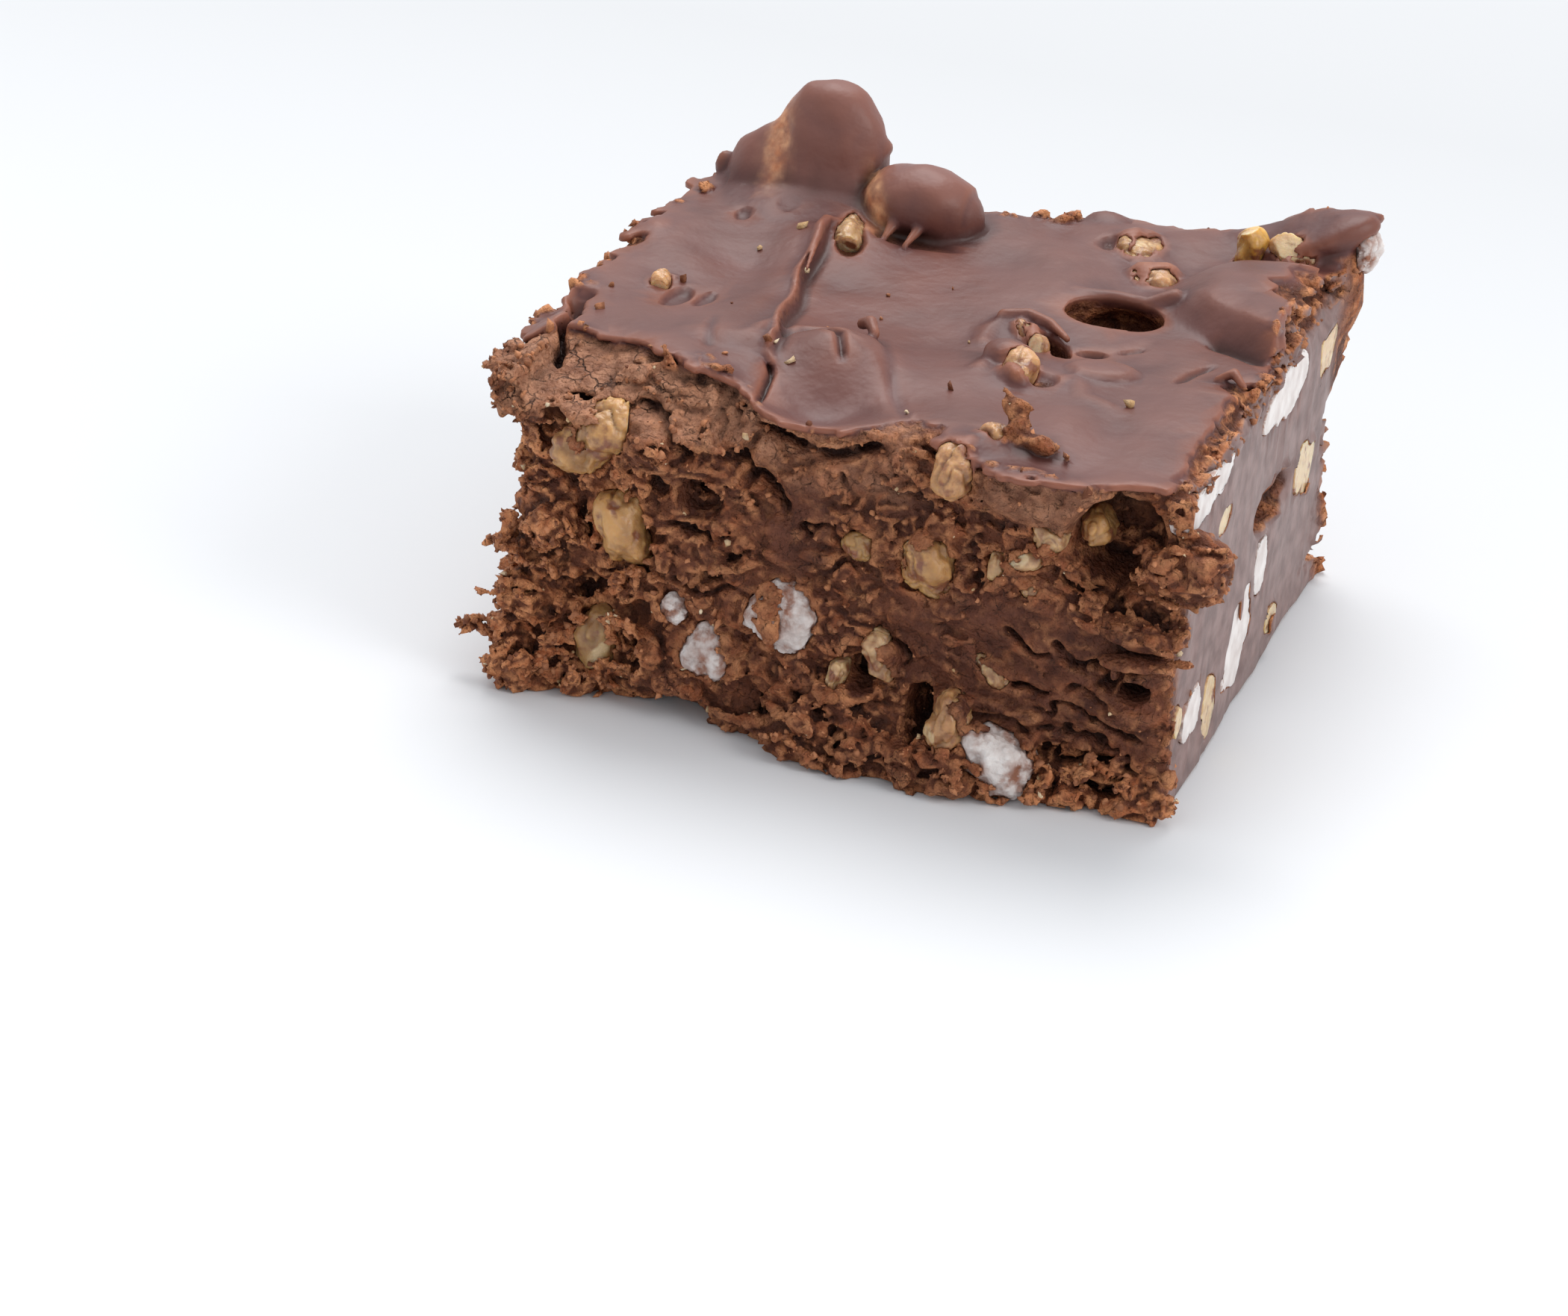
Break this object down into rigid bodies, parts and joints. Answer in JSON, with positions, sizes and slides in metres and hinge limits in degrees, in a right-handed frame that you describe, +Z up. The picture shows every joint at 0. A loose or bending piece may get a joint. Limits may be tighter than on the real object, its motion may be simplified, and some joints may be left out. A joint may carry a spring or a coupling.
{
  "type": "chocolate fudge",
  "caption": "Cut square of chocolate fudge with chopped walnuts and small marshmallows, smooth poured top and broken front.",
  "frame": {"origin": "middle of the base, at the bottom centre of the whole piece's box", "axes": "+X to the right along the broken front, -Y out of the broken front, +Z up from the flat base"},
  "size_m": [0.069, 0.062, 0.0417],
  "materials": {
    "fudge": "satin",
    "walnut": "satin",
    "marshmallow": "matte"
  },
  "bodies": {
    "root": {"fudge": "fudge", "marshmallow_01": "marshmallow", "marshmallow_02": "marshmallow", "marshmallow_03": "marshmallow", "marshmallow_04": "marshmallow", "marshmallow_05": "marshmallow", "marshmallow_06": "marshmallow", "marshmallow_07": "marshmallow", "marshmallow_08": "marshmallow", "marshmallow_09": "marshmallow", "marshmallow_10": "marshmallow", "marshmallow_11": "marshmallow", "marshmallow_12": "marshmallow", "walnut_01": "walnut", "walnut_02": "walnut", "walnut_03": "walnut", "walnut_04": "walnut", "walnut_05": "walnut", "walnut_06": "walnut", "walnut_07": "walnut", "walnut_08": "walnut", "walnut_09": "walnut", "walnut_10": "walnut", "walnut_11": "walnut", "walnut_12": "walnut", "walnut_13": "walnut", "walnut_14": "walnut", "walnut_15": "walnut", "walnut_16": "walnut", "walnut_17": "walnut", "walnut_18": "walnut", "walnut_19": "walnut", "walnut_20": "walnut", "walnut_21": "walnut", "walnut_22": "walnut", "walnut_23": "walnut", "walnut_24": "walnut", "walnut_25": "walnut", "walnut_26": "walnut", "walnut_27": "walnut", "walnut_28": "walnut", "walnut_29": "walnut", "walnut_30": "walnut", "walnut_31": "walnut", "walnut_32": "walnut", "walnut_33": "walnut", "walnut_34": "walnut", "walnut_35": "walnut"}
  },
  "joints": []
}
